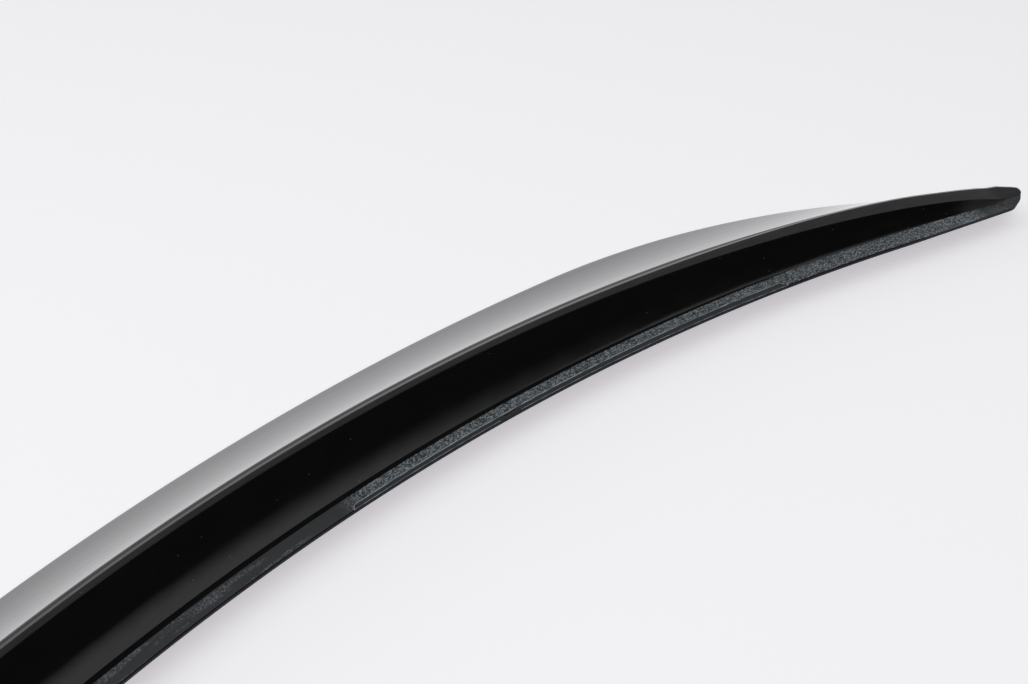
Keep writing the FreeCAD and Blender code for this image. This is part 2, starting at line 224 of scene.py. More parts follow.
def seat_outline(angle):
    """Floor of the gap, the seat's foot in the gap's dark finish as painted shade, and the seat up to the
    rim's inner edge.
    """
    rise = rim_rise(angle)
    gap = STRIP_GAP * (1 - (angle / GAP_ANGLE) ** 2)
    foot = Vector((gap, FLANGE_TOP))
    rim_in = Vector((rise, rise))
    chord = rim_in - foot
    arm = chord.length * math.sin(RIM_TURN) / math.sin(FOOT_TURN + RIM_TURN)
    bend = foot + Matrix.Rotation(-FOOT_TURN, 2) @ chord.normalized() * arm

    def on_seat(share):
        return foot.lerp(bend, share).lerp(bend.lerp(rim_in, share), share)

    first = 0
    if gap < 0:
        square = foot.x - 2 * bend.x + rim_in.x
        linear = 2 * (bend.x - foot.x)
        first = (math.sqrt(linear**2 - 4 * square * foot.x) - linear) / (2 * square)
    # The seat's foot, up to this share, takes the gap's dull dark finish: painted shade.
    foot_share = 1 - soft_step((angle - SHADED_FOOT_FADE) / (GAP_ANGLE - SHADED_FOOT_FADE))
    shaded_foot_end = first + SHADED_FOOT_LENGTH * foot_share / (2 * arm)
    gap_places = [Vector((0, on_seat(first).y)), on_seat(first)]
    seat = [on_seat(shaded_foot_end + (1 - shaded_foot_end) * number / SEAT_PIECES) for number in range(SEAT_PIECES + 1)]
    return gap_places, seat


# Rim, show face and nose: a narrow flat land on top of the rim, a small bevel in two bands, then the wide
# hollow face that is seen from the front. It is polished in the mould, and runs smoothly into the round
# leading edge.
LAND_WIDTH = 6.6
LAND_GAIN = 10.1
BEVEL_WIDTH = 2.2
BEVEL_DROP = 0.8
BAND_INWARDS = 2
BAND_OUTWARDS = 0.7
BAND_FADE = 20
BAND_FADE_SPAN = 7
BEND_PLACE = 0.53
BEND_DROP = 0.62
FACE_RADIUS = 336
BLADE_REACH = 104.4
TIP_REACH = 17
TAPER_ANGLE = 19
NOSE_RADIUS = 4
LOWEST = -19
FACE_PIECES = 24
NOSE_PIECES = 14
EASE_OUT = 1.3
EASE_OUT_ANGLE = 31.35
EASE_OUT_SPAN = 0.35
EASE_IN = 1.05
EASE_IN_ANGLE = 29.9
EASE_IN_SPAN = 0.9


def lead_reach(angle):
    """How far the leading edge is in front of the arc."""
    swept = max(angle - TAPER_ANGLE, 0) / (TIP_ANGLE - TAPER_ANGLE)
    return TIP_REACH + (BLADE_REACH - TIP_REACH) * (1 - swept**2)


def rim_land(angle):
    """Width of the rim's land. Near the tips it has to leave room for the nose."""
    room = lead_reach(angle) - rim_rise(angle) - BEVEL_WIDTH - NOSE_RADIUS
    return min(LAND_WIDTH + LAND_GAIN * (angle / TIP_ANGLE) ** 3, room)


def land_ease(angle):
    """Small easing of the land's outer edge, which keeps it a smooth curve where the seat runs out."""
    outwards = EASE_OUT * math.exp(-(((angle - EASE_OUT_ANGLE) / EASE_OUT_SPAN) ** 2))
    inwards = EASE_IN * math.exp(-(((angle - EASE_IN_ANGLE) / EASE_IN_SPAN) ** 2))
    return outwards - inwards


def face_outline(angle):
    """Outer edge of the land, bend and end of the bevel, the face, and the nose down to its lowest point."""
    rise = rim_rise(angle)
    rim_out = Vector((rise + rim_land(angle) + land_ease(angle), rise))
    band = 1 - soft_step((angle - BAND_FADE) / BAND_FADE_SPAN)
    land_edge = rim_out - Vector((BAND_INWARDS * band, 0))
    bevel_end = rim_out + Vector((BEVEL_WIDTH + BAND_OUTWARDS * band, -BEVEL_DROP))
    bend_ahead = land_edge.x + BEND_PLACE * (bevel_end.x - land_edge.x)
    bevel_bend = Vector((bend_ahead, rise - BEND_DROP * BEVEL_DROP))
    nose_centre = Vector((lead_reach(angle) - NOSE_RADIUS, LOWEST + NOSE_RADIUS))
    across = nose_centre - bevel_end
    to_nose = FACE_RADIUS + NOSE_RADIUS
    forwards = (across.length_squared + FACE_RADIUS**2 - to_nose**2) / (2 * across.length)
    upwards = math.sqrt(FACE_RADIUS**2 - forwards**2)
    unit = across.normalized()
    face_centre = bevel_end + unit * forwards + Vector((-unit.y, unit.x)) * upwards
    tangent = nose_centre + (face_centre - nose_centre) * NOSE_RADIUS / to_nose
    face_turn = abs((bevel_end - face_centre).angle_signed(tangent - face_centre))
    start_turn = math.atan2(tangent.y - nose_centre.y, tangent.x - nose_centre.x)
    nose = []
    for number in range(1, NOSE_PIECES + 1):
        heading = start_turn + (-math.pi / 2 - start_turn) * number / NOSE_PIECES
        nose.append(nose_centre + Vector((math.cos(heading), math.sin(heading))) * NOSE_RADIUS)
    return land_edge, bevel_bend, bevel_end, arc_points(bevel_end, tangent, face_turn, FACE_PIECES) + nose


# Underside: the hollow of the moulding, one wall inside the seat, rim and face, with a lip turned in under
# the leading edge. It is bare plastic from the mould. Near the tips there is no hollow.
WALL = 3
RETURN_WIDTH = 10
INNER_TURN = math.radians(40)
INNER_SEAT_PIECES = 14
INNER_FACE_PIECES = 12
INNER_EASE = WALL / 3
CAVITY_ANGLE = 30.6


def under_outline(angle):
    """From the turned-in lip back to the flange."""
    rise = rim_rise(angle)
    reach = lead_reach(angle)
    foot = STRIP_GAP * (1 - (angle / GAP_ANGLE) ** 2)
    closing_start = Vector((foot, FLANGE_UNDER))
    closing_end = Vector((reach - RETURN_WIDTH - WALL, LOWEST))
    inner_foot = Vector((foot, FLANGE_UNDER - INNER_EASE))
    inner_rim = Vector((rise + WALL * math.tan(math.radians(45) - INNER_TURN / 4), rise - WALL))
    inner_bevel = Vector((rise + rim_land(angle) + BEVEL_WIDTH - INNER_EASE, rise - WALL))
    lip_root = Vector((reach - NOSE_RADIUS - INNER_EASE, LOWEST + WALL))
    lip_top = Vector((reach - RETURN_WIDTH, LOWEST + WALL))
    lip_low = Vector((reach - RETURN_WIDTH, LOWEST))
    inner_turn = 2 * math.asin((lip_root - inner_bevel).length / 2 / (FACE_RADIUS + WALL))
    inner_face = arc_points(inner_bevel, lip_root, inner_turn, INNER_FACE_PIECES)[:-1]
    inner_seat = arc_points(inner_foot, inner_rim, INNER_TURN, INNER_SEAT_PIECES)[:-1]
    under = [lip_low, lip_top, lip_root, *reversed(inner_face), inner_bevel]
    under += [inner_rim, *reversed(inner_seat), inner_foot]
    if angle > CAVITY_ANGLE:
        count = len(under) - 1
        return [closing_end.lerp(closing_start, number / count) for number in range(count + 1)]
    slope = (closing_end.y - closing_start.y) / (closing_end.x - closing_start.x)
    for place in under:
        if place.x < closing_end.x:
            place.y = max(place.y, closing_start.y + slope * max(0, place.x - closing_start.x))
    return under


# Tips: the thin ends of the moulding. The rear edge runs straight to a slanted end with a round point, and
# the leading edge opens out from that point. The end's walls lean in below its edge. A place here is how far
# it is ahead of the arc, and how far past the tip's end.
TIP_ROUND = 8.4
TIP_LINE = 8.5
TIP_TRIM = 0.5
TIP_SLANT = math.radians(45)
TIP_FLARE = math.radians(30)
FLARE_RUN = 36
TIP_CORNER = 12
TIP_BACK = -9.4
TRIM_ANGLE = 26.5
CORNER_RUN = TIP_CORNER * math.tan((math.radians(90) - TIP_SLANT) / 2)
end_centre = Vector((TIP_LINE, -TIP_TRIM - TIP_ROUND))
slant_start = end_centre + Vector((-math.sin(TIP_SLANT), math.cos(TIP_SLANT))) * TIP_ROUND
flare_start = end_centre + Vector((math.cos(TIP_FLARE), math.sin(TIP_FLARE))) * TIP_ROUND
flare_end = flare_start + Vector((math.sin(TIP_FLARE), -math.cos(TIP_FLARE))) * FLARE_RUN
rear_corner = Vector((TIP_BACK, slant_start.y - (slant_start.x - TIP_BACK) * math.tan(TIP_SLANT)))
rear_end = rear_corner - Vector((0, CORNER_RUN))
slant_end = rear_corner + Vector((math.cos(TIP_SLANT), math.sin(TIP_SLANT))) * CORNER_RUN
corner_centre = rear_end + Vector((TIP_CORNER, 0))
trim_distance = ARC_RADIUS + flange_back(TRIM_ANGLE) - STRIP_EDGE / 2
trim_turn = math.radians(TIP_ANGLE - TRIM_ANGLE)
trim_ahead = trim_distance * math.cos(trim_turn) - ARC_RADIUS
trim_start = Vector((trim_ahead, -trim_distance * math.sin(trim_turn)))

# Near the end the underside rises, the slanted end bulges a little, and the strip runs up into the land
THIN_ANGLE = 31.3
THIN_END_ANGLE = 32.4
THIN_START = -20
THIN_END = -2.4
LEAN_BELOW = -0.5
TIP_LEAN = 0.4
TIP_BULGE = 1.2
LEAN_BLEND = 0.3
MERGE_START = 31.05
MERGE_END = 31.6
MERGE_BACK = -10
MERGE_FRONT = 1.5


def thin_floor(angle):
    """Lowest place of the underside."""
    return THIN_START + (THIN_END - THIN_START) * (angle - THIN_ANGLE) / (THIN_END_ANGLE - THIN_ANGLE)


def merged_height(angle, ahead):
    """Lowest place of the strip, the gap and the seat where they run into the land."""
    share = soft_step((angle - MERGE_START) / (MERGE_END - MERGE_START))
    level = TIP_RISE * soft_step((ahead - MERGE_BACK) / (MERGE_FRONT - MERGE_BACK))
    return -CHIP_DEPTH + (level + CHIP_DEPTH) * share


def turn_to(place):
    """Angle from the tip's end back to a place of the tip's plan."""
    return math.atan2(-place.y, ARC_RADIUS + place.x)


REAR_END_ANGLE = TIP_ANGLE - math.degrees(turn_to(rear_end))


def meets_line(turn, start, finish):
    """How far ahead of the arc the straight line through two places is, at a turn from the tip's end."""
    heading = Vector((math.cos(turn), -math.sin(turn)))
    side = finish - start
    from_centre = start + Vector((ARC_RADIUS, 0))
    return from_centre.cross(side) / heading.cross(side) - ARC_RADIUS


def meets_round(turn, centre, radius, side):
    """How far ahead of the arc a rounding's near side (-1) or far side (1) is, at a turn from the end."""
    heading = Vector((math.cos(turn), -math.sin(turn)))
    from_centre = centre + Vector((ARC_RADIUS, 0))
    middle = heading.dot(from_centre)
    half = math.sqrt(max(0, radius**2 - heading.cross(from_centre) ** 2))
    return middle + side * half - ARC_RADIUS


def tip_limits(angle):
    """Furthest back and furthest ahead that the tip's plan lets the lip be."""
    turn = math.radians(TIP_ANGLE - angle)
    rear = flange_back(angle)
    front = BLADE_REACH
    if turn < turn_to(slant_start):
        rear = meets_round(turn, end_centre, TIP_ROUND, -1)
    elif turn < turn_to(slant_end):
        rear = meets_line(turn, slant_end, slant_start)
        share = (turn - turn_to(slant_start)) / (turn_to(slant_end) - turn_to(slant_start))
        rear -= TIP_BULGE * math.sin(math.pi * share) ** 2
    elif turn < turn_to(rear_end):
        rear = meets_round(turn, corner_centre, TIP_CORNER, -1)
    elif turn < turn_to(trim_start):
        rear = max(rear, meets_line(turn, trim_start, rear_end))
    if turn < turn_to(flare_start):
        front = meets_round(turn, end_centre, TIP_ROUND, 1)
    elif turn < turn_to(flare_end):
        front = meets_line(turn, flare_start, flare_end)
    return rear, front


# Shell: the one moulding, closed all round. A ring of the section's points is spun about the arc's centre
# from tip to tip, and each ring then takes the section of its own place along the lip. The two ends are
# filled.
RIM_ROUNDING = 2 * EDGE_ROUNDING
LAND_PIECES = 6


def section(signed_angle):
    """Outline across the lip at an angle from the middle, as (place, finish) pairs. A place is how far it is
    ahead of the arc and its height above the strip, and a finish is that of the side that follows."""
    angle = abs(signed_angle)
    flange, strip, strip_front = strip_outline(signed_angle)
    gap_places, seat = seat_outline(angle)
    rim_in = seat[-1]
    land_edge, bevel_bend, bevel_end, face = face_outline(angle)
    parts = [
        ("flange", flange),
        ("strip", strip),
        ("gap", rounded(strip[-1], strip_front, gap_places[0], EDGE_ROUNDING) + gap_places),
        ("seat", seat[:-1]),
        ("rim", rounded(seat[-2], rim_in, land_edge, RIM_ROUNDING)[1:]),
        ("rim", line_points(rim_in, land_edge, LAND_PIECES)[1:-1]),
        ("bevel", rounded(rim_in, land_edge, bevel_bend, EDGE_ROUNDING)[1:]),
        ("groove", rounded(land_edge, bevel_bend, bevel_end, EDGE_ROUNDING)[1:]),
        ("face", [bevel_end, *face]),
        ("under", under_outline(angle)),
    ]
    rear, front = tip_limits(angle)
    slanted = soft_step((angle - REAR_END_ANGLE) / LEAN_BLEND)
    highest = FLANGE_UNDER
    outline = []
    for finish, places in parts:
        for place in places:
            height = max(place.y, thin_floor(angle))
            if finish in ("strip", "gap", "seat"):
                height = max(height, merged_height(angle, max(place.x, rear)))
            if place.x < rear and finish != "under":
                highest = max(highest, height)
                height = highest
            leaning_rear = rear + TIP_LEAN * slanted * max(0, LEAN_BELOW - height)
            outline.append((Vector((min(max(place.x, leaning_rear), front), height)), finish))
    return outline


STEPS_PER_SIDE = 130
CROWDING = 0.112
CROWDING_POWER = 9
END_STEPS = 14
END_FLAT = 3.5
CLOSEST = 0.0025
REBATE_END_SHIFT = 0.07
REBATE_STEP = 0.012
REBATE_STEPS = 8
CAVITY_STEP = 0.004
CHIP_STEP = 0.0165
CHIP_STEPS = 22


def angle_before_end(length):
    """Angle from the middle of a place that is the given length before the tip's end."""
    return TIP_ANGLE - math.degrees(math.asin(length / ARC_RADIUS))


stations = []
for number in range(-STEPS_PER_SIDE, STEPS_PER_SIDE + 1):
    share = number / STEPS_PER_SIDE
    crowded = (1 + CROWDING) * share - CROWDING * share**CROWDING_POWER
    stations.append(angle_before_end(TIP_TRIM + TIP_ROUND) * crowded)
for side in (-1, 1):
    for number in range(END_STEPS):
        turn = math.radians(END_FLAT + (90 - END_FLAT) * number / END_STEPS)
        stations.append(side * angle_before_end(TIP_TRIM + TIP_ROUND * (1 - math.cos(turn))))
    for line in (REBATE_START - REBATE_END_SHIFT, REBATE_END + REBATE_END_SHIFT):
        for number in range(-REBATE_STEPS, REBATE_STEPS + 1):
            stations.append(side * (line + REBATE_STEP * number))
    stations += [side * CAVITY_ANGLE, side * (CAVITY_ANGLE + CAVITY_STEP)]
stations += [CHIP_ANGLE + CHIP_STEP * number for number in range(-CHIP_STEPS, CHIP_STEPS + 1)]
stations.sort()
stations = [
    angle
    for number, angle in enumerate(stations)
    if number == 0 or angle - stations[number - 1] > CLOSEST
]
outlines = [section(angle) for angle in stations]
finishes = [finish for place, finish in outlines[0]]

shell = bmesh.new()
place_layer = shell.verts.layers.float.new("place")
ring_seat = (
    Matrix.Translation(ARC_CENTRE)
    @ Matrix.Rotation(math.radians(-TIP_ANGLE), 4, "Z")
    @ Matrix.Translation((0, -ARC_RADIUS * MM, 0))
    @ Matrix.Rotation(math.radians(90), 4, "Y")
)
bmesh.ops.create_circle(shell, segments=len(finishes), radius=MM, matrix=ring_seat)
shell.verts.ensure_lookup_table()
for number, corner in enumerate(shell.verts):
    corner[place_layer] = number
bmesh.ops.spin(
    shell,
    geom=shell.verts[:] + shell.edges[:],
    cent=ARC_CENTRE,
    axis=(0, 0, 1),
    angle=math.radians(2 * TIP_ANGLE),
    steps=len(stations) - 1,
    use_merge=False,
)

STRIP_FRONT_POINT = 2
lengths = []
for outline in outlines:
    run = [0]
    for (place, finish), (following, next_finish) in zip(outline, outline[1:]):
        run.append(run[-1] + (following - place).length)
    strip_front_run = run[finishes.index("gap") + STRIP_FRONT_POINT]
    lengths.append([(length - strip_front_run) * MM for length in run])

along_layer = shell.verts.layers.float.new("along")
across_layer = shell.verts.layers.float.new("across")
for corner in shell.verts:
    heading = math.atan2(corner.co.x, ARC_CENTRE.y - corner.co.y)
    station = round((math.degrees(heading) + TIP_ANGLE) / (2 * TIP_ANGLE) * (len(stations) - 1))
    number = round(corner[place_layer])
    place, finish = outlines[station][number]
    turn = math.radians(stations[station])
    distance = (ARC_RADIUS + place.x) * MM
    corner.co = ARC_CENTRE + Vector((math.sin(turn) * distance, -math.cos(turn) * distance, place.y * MM))
    corner[along_layer] = turn * ARC_RADIUS * MM
    corner[across_layer] = lengths[station][number]

FINISH_ORDER = ["face", "bevel", "groove", "rim", "seat", "gap"]
FINISH_ORDER += ["strip", "lit_step", "rebate", "chip", "flange", "under"]
REAR_EDGE_POINTS = 5
FULL_DEPTH = 0.9
RIM_FINISH_ANGLE = 31.45
WELD_DISTANCE = 0.004
SHARP_TURN = math.radians(38)
lip_map = shell.loops.layers.uv.new("lip_map")
for face in shell.faces:
    places = [round(corner[place_layer]) for corner in face.verts]
    wraps = 0 in places and len(finishes) - 1 in places
    finish = "under" if wraps else finishes[min(places)]
    middle = face.calc_center_median() - ARC_CENTRE
    angle = math.degrees(math.atan2(middle.x, -middle.y))
    if finish == "strip":
        ahead = middle.to_2d().length / MM - ARC_RADIUS
        lowered = rebate_depth(angle, ahead) / REBATE_DEPTH
        on_rear_edge = min(places) < finishes.index("strip") + REAR_EDGE_POINTS
        if lowered > 0:
            # The rebate's rear edge and ramps take the pale finish of painted highlights.
            finish = "lit_step" if on_rear_edge or lowered < FULL_DEPTH else "rebate"
        chipped = chip_depth(angle, ahead) / CHIP_DEPTH
        if chipped > 0:
            # The chip's sloping walls take the gap's dull dark finish: painted shade.
            finish = "chip" if chipped > FULL_DEPTH else "gap"
    if finish in ("gap", "seat") and abs(angle) > RIM_FINISH_ANGLE:
        finish = "rim"
    face.material_index = FINISH_ORDER.index(finish)
    face.smooth = True
    for loop in face.loops:
        loop[lip_map].uv = (loop.vert[along_layer], loop.vert[across_layer])
open_edges = [edge for edge in shell.edges if edge.is_boundary]
caps = bmesh.ops.edgeloop_fill(shell, edges=open_edges, mat_nr=FINISH_ORDER.index("rim"))["faces"]
bmesh.ops.triangulate(shell, faces=caps)
bmesh.ops.remove_doubles(shell, verts=shell.verts, dist=WELD_DISTANCE * MM)
bmesh.ops.recalc_face_normals(shell, faces=shell.faces)

lip_mesh = bpy.data.meshes.new("lip_shell")
shell.to_mesh(lip_mesh)
shell.free()
lip_mesh.set_sharp_from_angle(angle=SHARP_TURN)
lip = bpy.data.objects.new("lip_shell", lip_mesh)
bpy.context.scene.collection.objects.link(lip)
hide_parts("bumper_lip")
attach(lip, "root")


# Finishes of the shell: all of it is one black plastic, and the mould's surface makes the difference, from
# polish on the face to spark-eroded grain on the strip. Patterns lie on the shell's own map, in metres along
# and across, and the finishes are added in the order that FINISH_ORDER gives.
# Some finishes also carry painted light and shade: glints on the strip, highlights on the rebate's edges, and
# the dark gap.
CLOUD_LOW = 0.3
CLOUD_HIGH = 0.7
DUST = (0.16, 0.16, 0.17)


def plastic(name):
    """A new finish, as its node tree, its shader and the map."""
    material = bpy.data.materials.new(name)
    material.use_nodes = True
    tree = material.node_tree
    surface = tree.nodes.new("ShaderNodeUVMap")
    surface.uv_map = "lip_map"
    lip_mesh.materials.append(material)
    return tree, tree.nodes["Principled BSDF"], surface.outputs["UV"]


def stretched(tree, surface, along, across, turn=0):
    """The map with the given number of units to a metre along and across, turned if need be."""
    mapping = tree.nodes.new("ShaderNodeMapping")
    mapping.inputs["Rotation"].default_value = (0, 0, turn)
    mapping.inputs["Scale"].default_value = (along, across, 1)
    tree.links.new(surface, mapping.inputs["Vector"])
    return mapping.outputs["Vector"]


def cloud(tree, vector, detail=2):
    """Cloudy pattern between 0 and 1, with about one cloud to a unit."""
    texture = tree.nodes.new("ShaderNodeTexNoise")
    texture.noise_dimensions = "2D"
    texture.inputs["Scale"].default_value = 1
    texture.inputs["Detail"].default_value = detail
    tree.links.new(vector, texture.inputs["Vector"])
    return texture.outputs["Fac"]


def spread(tree, pattern, start, end, low, high):
    """A pattern's range from start to end, spread from low to high."""
    ranged = tree.nodes.new("ShaderNodeMapRange")
    ranged.interpolation_type = "SMOOTHSTEP"
    ranged.inputs["From Min"].default_value = start
    ranged.inputs["From Max"].default_value = end
    ranged.inputs["To Min"].default_value = low
    ranged.inputs["To Max"].default_value = high
    tree.links.new(pattern, ranged.inputs["Value"])
    return ranged.outputs["Result"]


def combined(tree, operation, first, second):
    """Two patterns, or a pattern and a number, put together."""
    maths = tree.nodes.new("ShaderNodeMath")
    maths.operation = operation
    for socket, source in zip(maths.inputs, (first, second)):
        if isinstance(source, bpy.types.NodeSocket):
            tree.links.new(source, socket)
        else:
            socket.default_value = source
    return maths.outputs["Value"]


def blended(tree, pattern, shaded_foot_end, light):
    """Colour between two colours, by a pattern. Either may be the result of another blend."""
    mix = tree.nodes.new("ShaderNodeMix")
    mix.data_type = "RGBA"
    tree.links.new(pattern, mix.inputs["Factor"])
    for name, colour in (("A", shaded_foot_end), ("B", light)):
        socket = [socket for socket in mix.inputs if socket.name == name and socket.type == "RGBA"][0]
        if isinstance(colour, bpy.types.NodeSocket):
            tree.links.new(colour, socket)
        else:
            socket.default_value = (*colour, 1)
    return [socket for socket in mix.outputs if socket.type == "RGBA"][0]


def coloured(tree, shader, pattern, shaded_foot_end, light):
    """Gives the finish a colour between two colours, by a pattern."""
    tree.links.new(blended(tree, pattern, shaded_foot_end, light), shader.inputs["Base Color"])


def roughened(tree, shader, pattern, low, high):
    """Gives the finish a roughness between low and high, by a cloudy pattern."""
    roughness = spread(tree, pattern, CLOUD_LOW, CLOUD_HIGH, low, high)
    tree.links.new(roughness, shader.inputs["Roughness"])


def embossed(tree, shader, height, depth):
    """Puts a pattern on the finish as relief of the given depth in metres."""
    bump = tree.nodes.new("ShaderNodeBump")
    bump.inputs["Distance"].default_value = depth
    tree.links.new(height, bump.inputs["Height"])
    tree.links.new(bump.outputs["Normal"], shader.inputs["Normal"])


def specks(tree, surface, per_metre, size, rarity):
    """1 on a few small specks of dust and 0 elsewhere."""
    cells = tree.nodes.new("ShaderNodeTexVoronoi")
    cells.voronoi_dimensions = "2D"
    cells.inputs["Scale"].default_value = per_metre
    tree.links.new(surface, cells.inputs["Vector"])
    near = combined(tree, "LESS_THAN", cells.outputs["Distance"], size)
    channels = tree.nodes.new("ShaderNodeSeparateColor")
    tree.links.new(cells.outputs["Color"], channels.inputs["Color"])
    chosen = combined(tree, "GREATER_THAN", channels.outputs["Red"], rarity)
    return combined(tree, "MULTIPLY", near, chosen)


def from_middle(tree, surface):
    """Distance along the lip from its middle, in metres."""
    split = tree.nodes.new("ShaderNodeSeparateXYZ")
    tree.links.new(surface, split.inputs["Vector"])
    return combined(tree, "ABSOLUTE", split.outputs["X"], 0)


# Polished face and nose, with faint lengthwise waves from the polisher
HAIRLINE_SHARE = 0.02
tree, shader, surface = plastic("face_gloss")
waves = cloud(tree, stretched(tree, surface, along=3, across=160), detail=3)
hairlines = cloud(tree, stretched(tree, surface, along=8, across=2600), detail=1)
clouds = cloud(tree, stretched(tree, surface, along=25, across=60))
dust = specks(tree, surface, per_metre=90, size=0.025, rarity=0.9)
black = blended(tree, clouds, shaded_foot_end=(0.006, 0.006, 0.0065), light=(0.012, 0.012, 0.013))
coloured(tree, shader, dust, shaded_foot_end=black, light=DUST)
roughened(tree, shader, hairlines, low=0.05, high=0.12)
shader.inputs["IOR"].default_value = 1.52
shader.inputs["Coat Weight"].default_value = 0.54
shader.inputs["Specular Tint"].default_value = (0.99, 0.96, 1, 1)
shader.inputs["Coat Roughness"].default_value = 0.04
relief = combined(tree, "ADD", waves, combined(tree, "MULTIPLY", hairlines, HAIRLINE_SHARE))
embossed(tree, shader, relief, depth=0.00008)

# Bevel, scraped to a satin line
tree, shader, surface = plastic("bevel_satin")
scrape = cloud(tree, stretched(tree, surface, along=12, across=3500))
coloured(tree, shader, scrape, shaded_foot_end=(0.01, 0.01, 0.011), light=(0.03, 0.03, 0.032))
roughened(tree, shader, scrape, low=0.25, high=0.4)
shader.inputs["Coat Weight"].default_value = 0.8
shader.inputs["Coat Roughness"].default_value = 0.2
embossed(tree, shader, scrape, depth=0.00002)

# Groove between the bevel and the face, darker
tree, shader, surface = plastic("groove_satin")
scrape = cloud(tree, stretched(tree, surface, along=12, across=3500))
coloured(tree, shader, scrape, shaded_foot_end=(0.008, 0.008, 0.009), light=(0.02, 0.02, 0.021))
roughened(tree, shader, scrape, low=0.3, high=0.42)
shader.inputs["Specular IOR Level"].default_value = 0.4

# Land of the rim, with a fine matte mould grain
tree, shader, surface = plastic("rim_matte")
grain = cloud(tree, stretched(tree, surface, along=2600, across=2600), detail=3)
clouds = cloud(tree, stretched(tree, surface, along=30, across=200), detail=3)
clouds = spread(tree, clouds, CLOUD_LOW, CLOUD_HIGH, 0, 1)
dust = specks(tree, surface, per_metre=130, size=0.035, rarity=0.93)
charcoal = blended(tree, clouds, shaded_foot_end=(0.008, 0.008, 0.0085), light=(0.014, 0.014, 0.0145))
coloured(tree, shader, dust, shaded_foot_end=charcoal, light=DUST)
roughened(tree, shader, grain, low=0.5, high=0.68)
shader.inputs["Specular IOR Level"].default_value = 0.22
embossed(tree, shader, grain, depth=0.00005)

# Seat, as the cutter left its mould: glossy, with close slanting tool marks, and duller near the tips
MARK_TURN = math.radians(-64)
MARK_SHARE = 0.11
PALE_START = 0.8
PALE_END = 0.84
DULL_START = 0.803
DULL_END = 0.836
DULLING = 0.45
SEAT_POLISH = (0.07, 0.11)
tree, shader, surface = plastic("seat_tooled")
marks = tree.nodes.new("ShaderNodeTexWave")
marks.inputs["Scale"].default_value = 1
marks.inputs["Distortion"].default_value = 1.2
marks.inputs["Detail"].default_value = 2
marks.inputs["Detail Scale"].default_value = 0.6
tree.links.new(stretched(tree, surface, along=270, across=270, turn=MARK_TURN), marks.inputs["Vector"])
dents = cloud(tree, stretched(tree, surface, along=40, across=70))
dust = specks(tree, surface, per_metre=110, size=0.03, rarity=0.94)
along_lip = from_middle(tree, surface)
near_tip = spread(tree, along_lip, PALE_START, PALE_END, 0, 1)
black = blended(tree, dents, shaded_foot_end=(0.002, 0.002, 0.002), light=(0.0035, 0.0035, 0.0035))
black = blended(tree, near_tip, shaded_foot_end=black, light=(0.006, 0.006, 0.0063))
coloured(tree, shader, dust, shaded_foot_end=black, light=DUST)
polish = spread(tree, dents, CLOUD_LOW, CLOUD_HIGH, *SEAT_POLISH)
dulled = spread(tree, along_lip, DULL_START, DULL_END, 0, DULLING)
tree.links.new(combined(tree, "ADD", polish, dulled), shader.inputs["Roughness"])
relief = combined(tree, "ADD", dents, combined(tree, "MULTIPLY", marks.outputs["Fac"], MARK_SHARE))
embossed(tree, shader, relief, depth=0.0001)

# Shadow gap, the seat's foot beside it and the chip's walls: painted shade, a dull black finish with almost
# no reflection where these narrow places lie in shade
tree, shader, surface = plastic("gap_dull_painted_shade")
film = cloud(tree, stretched(tree, surface, along=150, across=900), detail=4)
coloured(tree, shader, film, shaded_foot_end=(0.001, 0.001, 0.001), light=(0.003, 0.003, 0.003))
roughened(tree, shader, film, low=0.6, high=0.8)
shader.inputs["Specular IOR Level"].default_value = 0.08

# Bond strip, spark-eroded to a grain that holds the glue, with pale specks in its colour that are painted
# glints of the light on the grain. It is smooth near the lip's middle, apart from some patches, and nearly
# smooth at the tips.
GRAIN_START = math.radians(REBATE_START) * ARC_RADIUS * MM
GRAIN_FADE = 0.012
GRAIN_END = math.radians(30.55) * ARC_RADIUS * MM
GRAIN_END_BEFORE = 0.008
GRAIN_END_AFTER = 0.006
SMOOTH_BEFORE = 0.004
TIP_GRAIN = 0.12
PATCH_GRAIN = 0.4
PATCH_RANGE = (0.5, 0.62)
PATCH_FULL = 0.06
PATCH_GONE = 0.03
GLINTS_PER_METRE = 1200
tree, shader, surface = plastic("strip_grain")
coarse = cloud(tree, stretched(tree, surface, along=1300, across=1300), detail=4)
glint_cells = tree.nodes.new("ShaderNodeTexVoronoi")
glint_cells.voronoi_dimensions = "2D"
glint_cells.inputs["Scale"].default_value = GLINTS_PER_METRE
tree.links.new(surface, glint_cells.inputs["Vector"])
glint_channels = tree.nodes.new("ShaderNodeSeparateColor")
tree.links.new(glint_cells.outputs["Color"], glint_channels.inputs["Color"])
along_lip = from_middle(tree, surface)
past_middle = spread(tree, along_lip, GRAIN_START - GRAIN_FADE, GRAIN_START + GRAIN_FADE, 0, 1)
before_tip = spread(
    tree, along_lip, GRAIN_END - GRAIN_END_BEFORE, GRAIN_END + GRAIN_END_AFTER, 1, TIP_GRAIN
)
grained = combined(tree, "MULTIPLY", past_middle, before_tip)
patches = cloud(tree, stretched(tree, surface, along=18, across=160), detail=3)
patches = spread(tree, patches, *PATCH_RANGE, 0, PATCH_GRAIN)
near_middle = spread(tree, along_lip, GRAIN_START - PATCH_FULL, GRAIN_START - PATCH_GONE, 1, 0)
amount = combined(tree, "MAXIMUM", grained, combined(tree, "MULTIPLY", patches, near_middle))
